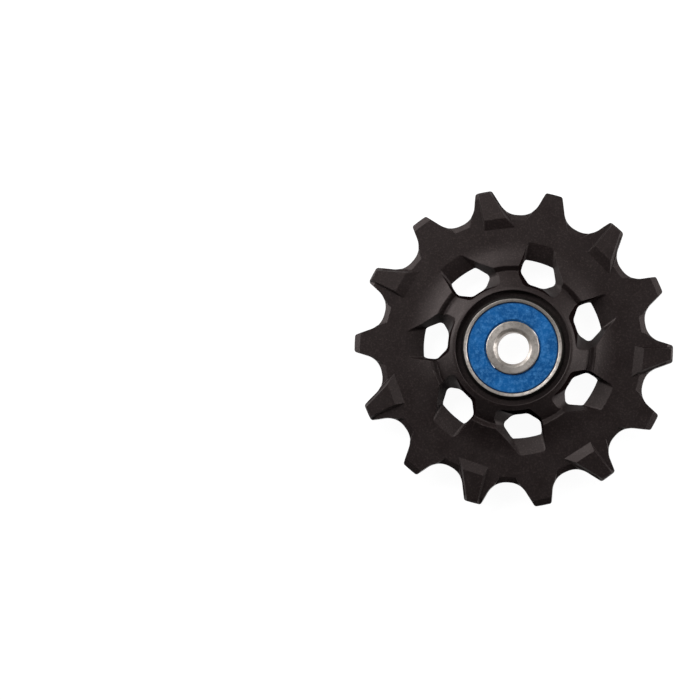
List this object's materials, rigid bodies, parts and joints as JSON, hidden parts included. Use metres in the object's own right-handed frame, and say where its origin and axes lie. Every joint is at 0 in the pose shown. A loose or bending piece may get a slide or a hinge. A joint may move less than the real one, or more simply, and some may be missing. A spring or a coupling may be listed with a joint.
{
  "type": "derailleur jockey wheel",
  "caption": "Toothed nylon jockey wheel with plain and padded teeth by turns, ramped windows and a sealed ball bearing, which guides and tensions a bicycle chain.",
  "frame": {"origin": "centre of the wheel, on the axle's axis, half way between its two faces", "axes": "+Z along the axle towards the front face, +X through a padded tooth"},
  "size_m": [0.0586, 0.0578, 0.0068],
  "materials": {
    "filled_nylon": "moulded, fine grain, satin",
    "bearing_steel": "ground",
    "seal_rubber": "moulded, matt",
    "cage_steel": "pressed",
    "ball_steel": "polished"
  },
  "bodies": {
    "inner_ring": {"bearing_inner_ring": "bearing_steel"},
    "wheel": {"pulley_wheel": "filled_nylon", "bearing_outer_ring": "bearing_steel", "front_seal": "seal_rubber", "rear_seal": "seal_rubber"},
    "cage": {"cage_half_front": "cage_steel", "cage_half_rear": "cage_steel", "cage_rivets": "cage_steel"},
    "ball_1": {"ball_1": "ball_steel"},
    "ball_2": {"ball_2": "ball_steel"},
    "ball_3": {"ball_3": "ball_steel"},
    "ball_4": {"ball_4": "ball_steel"},
    "ball_5": {"ball_5": "ball_steel"},
    "ball_6": {"ball_6": "ball_steel"}
  },
  "joints": [
    {"name": "wheel_spin", "type": "hinge", "parent": "inner_ring", "child": "wheel", "pos_m": [0, 0, 0], "axis": [0, 0, 1], "continuous": true},
    {"name": "cage_spin", "type": "hinge", "parent": "inner_ring", "child": "cage", "pos_m": [0, 0, 0], "axis": [0, 0, 1], "continuous": true},
    {"name": "ball_1_roll", "type": "hinge", "parent": "cage", "child": "ball_1", "pos_m": [0.00625, 0, 0], "axis": [0, 0, 1], "continuous": true},
    {"name": "ball_2_roll", "type": "hinge", "parent": "cage", "child": "ball_2", "pos_m": [0.00313, 0.00541, 0], "axis": [0, 0, 1], "continuous": true},
    {"name": "ball_3_roll", "type": "hinge", "parent": "cage", "child": "ball_3", "pos_m": [-0.00313, 0.00541, 0], "axis": [0, 0, 1], "continuous": true},
    {"name": "ball_4_roll", "type": "hinge", "parent": "cage", "child": "ball_4", "pos_m": [-0.00625, 0, 0], "axis": [0, 0, 1], "continuous": true},
    {"name": "ball_5_roll", "type": "hinge", "parent": "cage", "child": "ball_5", "pos_m": [-0.00313, -0.00541, 0], "axis": [0, 0, 1], "continuous": true},
    {"name": "ball_6_roll", "type": "hinge", "parent": "cage", "child": "ball_6", "pos_m": [0.00313, -0.00541, 0], "axis": [0, 0, 1], "continuous": true}
  ],
  "couplings": [
    {"joint": "cage_spin", "follows": "wheel_spin", "ratio": 0.64},
    {"joint": "ball_1_roll", "follows": "wheel_spin", "ratio": 1.6457},
    {"joint": "ball_2_roll", "follows": "wheel_spin", "ratio": 1.6457},
    {"joint": "ball_3_roll", "follows": "wheel_spin", "ratio": 1.6457},
    {"joint": "ball_4_roll", "follows": "wheel_spin", "ratio": 1.6457},
    {"joint": "ball_5_roll", "follows": "wheel_spin", "ratio": 1.6457},
    {"joint": "ball_6_roll", "follows": "wheel_spin", "ratio": 1.6457}
  ]
}
